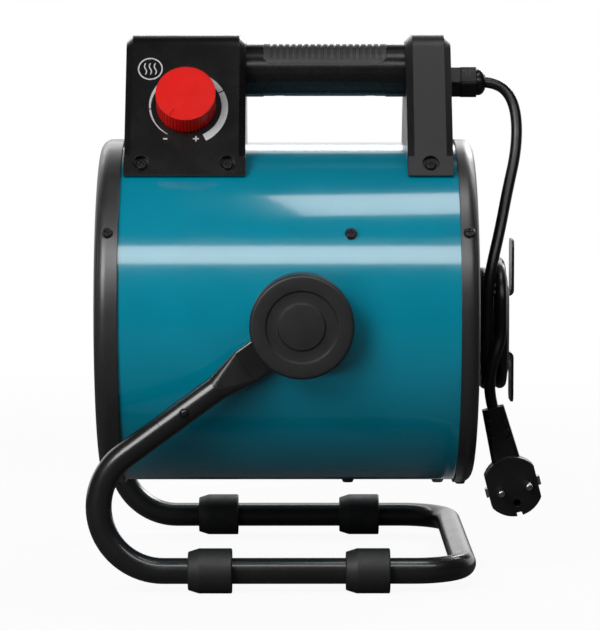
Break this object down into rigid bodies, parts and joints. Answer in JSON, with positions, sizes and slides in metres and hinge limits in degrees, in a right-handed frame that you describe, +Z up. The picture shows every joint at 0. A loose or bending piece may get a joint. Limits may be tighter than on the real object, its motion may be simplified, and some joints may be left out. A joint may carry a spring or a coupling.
{
  "type": "forced air heater",
  "caption": "Round drum electric fan heater in a tilting tube stand, with a carrying handle, thermostat dial, and lead wound on a rear bracket.",
  "frame": {"origin": "on the floor under the middle of the object, measured without its lead and plug", "axes": "+Z up; warm air leaves at -X and the lead is at +X; the dial faces -Y"},
  "size_m": [0.3021, 0.2864, 0.3632],
  "materials": {
    "tube_black": "glossy powder coat",
    "drum_teal": "gloss enamel",
    "black_plastic": "satin moulded",
    "black_rubber": "matt",
    "grip_rubber": "ribbed, satin",
    "dial_red": "satin moulded",
    "black_screws": "black zinc",
    "zinc_steel": "zinc plated",
    "wire_black": "semi-gloss powder coat",
    "spring_steel": "bright",
    "element_steel": "heat-tinted",
    "shield_steel": "galvanised",
    "fan_aluminium": "stamped",
    "motor_grey": "painted",
    "white_ceramic": "glazed",
    "cord_black": "satin sheath",
    "pin_brass": "nickel plated brass"
  },
  "bodies": {
    "stand": {"stand_tube": "tube_black", "arm_near": "tube_black", "arm_far": "tube_black", "snap_springs": "spring_steel", "foot_front_near": "black_rubber", "foot_front_far": "black_rubber", "foot_rear_near": "black_rubber", "foot_rear_far": "black_rubber"},
    "heater": {"drum_shell": "drum_teal", "front_ring": "black_plastic", "rear_ring": "black_plastic", "ring_screws": "black_screws", "drum_screws": "black_screws", "earth_screw": "zinc_steel", "front_grille": "wire_black", "rear_grille": "wire_black", "heat_shield": "shield_steel", "element_inner": "element_steel", "element_middle": "element_steel", "element_outer": "element_steel", "element_strips": "shield_steel", "motor_housing": "motor_grey", "motor_cap": "motor_grey", "motor_bracket": "shield_steel", "overheat_cutout": "white_ceramic", "pivot_bosses": "black_plastic", "friction_washers": "black_rubber", "nut_plates": "zinc_steel", "control_box": "black_plastic", "rear_post": "black_plastic", "housing_screws": "black_screws", "grip_insert": "grip_rubber", "handle": "black_plastic", "handle_underside": "black_plastic", "handle_screws": "black_screws", "thermostat": "white_ceramic", "thermostat_nut": "zinc_steel", "terminal_block": "white_ceramic", "gland_body": "black_plastic", "gland_nut": "black_plastic", "gland_seal": "black_rubber", "inner_lead": "cord_black", "cord_bracket": "wire_black", "bracket_clamp": "zinc_steel", "bracket_screws": "black_screws", "cord_lead": "cord_black", "cord_coil": "cord_black", "cord_tail": "cord_black", "plug_body": "cord_black", "plug_pins": "pin_brass", "earth_clips": "pin_brass"},
    "fan": {"motor_rotor": "zinc_steel", "fan_impeller": "fan_aluminium", "fan_nut": "zinc_steel"},
    "dial": {"dial_knob": "dial_red", "dial_spindle": "zinc_steel"},
    "button_near": {"button_near": "spring_steel"},
    "button_far": {"button_far": "spring_steel"},
    "tilt_knob_near": {"tilt_knob_near": "black_plastic"},
    "tilt_knob_far": {"tilt_knob_far": "black_plastic"}
  },
  "joints": [
    {"name": "tilt", "type": "hinge", "parent": "stand", "child": "heater", "pos_m": [-0.00254, 0, 0.17425], "axis": [0, 1, 0], "range_deg": [-30, 7]},
    {"name": "fan_spin", "type": "hinge", "parent": "heater", "child": "fan", "pos_m": [-0.01214, 0, 0.17425], "axis": [1, 0, 0], "continuous": true},
    {"name": "dial_turn", "type": "hinge", "parent": "heater", "child": "dial", "pos_m": [-0.07954, -0.04605, 0.31497], "axis": [0, 0.8801, -0.4748], "range_deg": [0, 300]},
    {"name": "button_near_press", "type": "slide", "parent": "stand", "child": "button_near", "axis": [0, 1, 0], "range_m": [0, 0.0042], "stiffness_N_per_m": 1200, "springref_m": -0.003},
    {"name": "button_far_press", "type": "slide", "parent": "stand", "child": "button_far", "axis": [0, -1, 0], "range_m": [0, 0.0042], "stiffness_N_per_m": 1200, "springref_m": -0.003},
    {"name": "tilt_knob_near_turn", "type": "hinge", "parent": "heater", "child": "tilt_knob_near", "pos_m": [-0.00254, -0.13, 0.17425], "axis": [0, -1, 0], "range_deg": [0, 360]},
    {"name": "tilt_knob_far_turn", "type": "hinge", "parent": "heater", "child": "tilt_knob_far", "pos_m": [-0.00254, 0.13, 0.17425], "axis": [0, 1, 0], "range_deg": [0, 360]}
  ]
}
